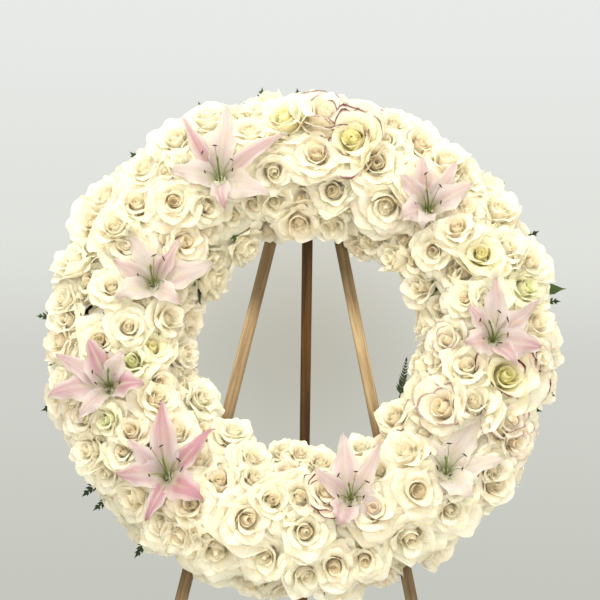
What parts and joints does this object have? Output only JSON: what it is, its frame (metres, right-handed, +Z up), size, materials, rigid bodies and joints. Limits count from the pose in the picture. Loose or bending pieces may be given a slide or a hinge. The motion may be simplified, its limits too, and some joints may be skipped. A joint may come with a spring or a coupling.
{
  "type": "funeral wreath on an easel",
  "caption": "Round funeral wreath of massed cream roses, scattered pink lilies and fern tips in a foam ring tray, wired to a folding wooden tripod easel.",
  "frame": {"origin": "on the floor, under the middle of the whole object's box", "axes": "+Z up; +X to the right of a visitor who faces the flowers; +Y away from that visitor, towards the rear leg"},
  "size_m": [0.8468, 0.8477, 1.4955],
  "materials": {
    "rose_petal": "satin",
    "lily_petal": "satin",
    "fern_leaf": "satin",
    "wet_foam": "matte",
    "tray_plastic": "satin",
    "florist_wire": "satin",
    "pine": "satin",
    "stained_pine": "satin",
    "steel": "satin"
  },
  "bodies": {
    "front_frame": {"front_leg_left": "pine", "front_leg_right": "pine", "head_block": "pine", "crossbar": "pine", "peg_left": "pine", "peg_right": "pine", "hinge_leaf_fixed": "steel", "hinge_pin": "steel", "head_screw_left_lower": "steel", "head_screw_left_upper": "steel", "head_screw_right_lower": "steel", "head_screw_right_upper": "steel", "bar_screw_left": "steel", "bar_screw_right": "steel", "block_hinge_screw_upper": "steel", "block_hinge_screw_lower": "steel", "ring_tray": "tray_plastic", "foam_ring": "wet_foam", "wire_tie_left_upper": "florist_wire", "wire_tie_left_lower": "florist_wire", "wire_tie_right_upper": "florist_wire", "wire_tie_right_lower": "florist_wire", "lily_1": "lily_petal", "lily_2": "lily_petal", "lily_3": "lily_petal", "lily_4": "lily_petal", "lily_5": "lily_petal", "lily_6": "lily_petal", "lily_7": "lily_petal", "lily_8": "lily_petal", "rose_group_01": "rose_petal", "rose_group_02": "rose_petal", "rose_group_03": "rose_petal", "rose_group_04": "rose_petal", "rose_group_05": "rose_petal", "rose_group_06": "rose_petal", "rose_group_07": "rose_petal", "rose_group_08": "rose_petal", "rose_group_09": "rose_petal", "rose_group_10": "rose_petal", "rose_group_11": "rose_petal", "rose_group_12": "rose_petal", "rose_group_13": "rose_petal", "rose_group_14": "rose_petal", "rose_group_15": "rose_petal", "rose_group_16": "rose_petal", "fern_01": "fern_leaf", "fern_02": "fern_leaf", "fern_03": "fern_leaf", "fern_04": "fern_leaf", "fern_05": "fern_leaf", "fern_06": "fern_leaf", "fern_07": "fern_leaf", "fern_08": "fern_leaf", "fern_09": "fern_leaf", "fern_10": "fern_leaf"},
    "rear_leg_assembly": {"rear_leg": "stained_pine", "hinge_leaf_moving": "steel", "leg_hinge_screw_upper": "steel", "leg_hinge_screw_lower": "steel"}
  },
  "joints": [
    {"name": "rear_leg_hinge", "type": "hinge", "parent": "front_frame", "child": "rear_leg_assembly", "pos_m": [0.006, -0.05695, 1.40853], "axis": [1, 0, 0], "range_deg": [-30, 0]}
  ]
}
